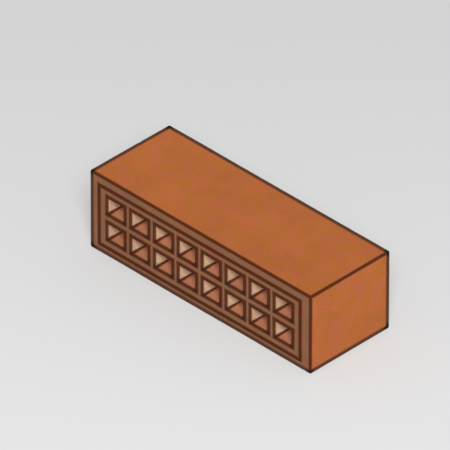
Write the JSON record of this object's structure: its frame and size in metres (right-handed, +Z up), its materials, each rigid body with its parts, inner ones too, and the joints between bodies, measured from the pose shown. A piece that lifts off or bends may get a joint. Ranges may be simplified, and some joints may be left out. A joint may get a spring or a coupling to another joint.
{
  "type": "air brick",
  "caption": "Fired clay air brick: a rectangular block with a raised face panel, pierced by rows of near-square passages that narrow through to the back.",
  "frame": {"origin": "middle of the footprint, on the bed face that the brick lies on", "axes": "+X along the length, +Y from the pierced face to the plain back, +Z up from the lower bed to the upper bed"},
  "size_m": [0.215, 0.0786, 0.065],
  "materials": {
    "fired_clay": "matt unglazed terracotta"
  },
  "bodies": {
    "root": {"air_brick": "fired_clay"}
  },
  "joints": []
}
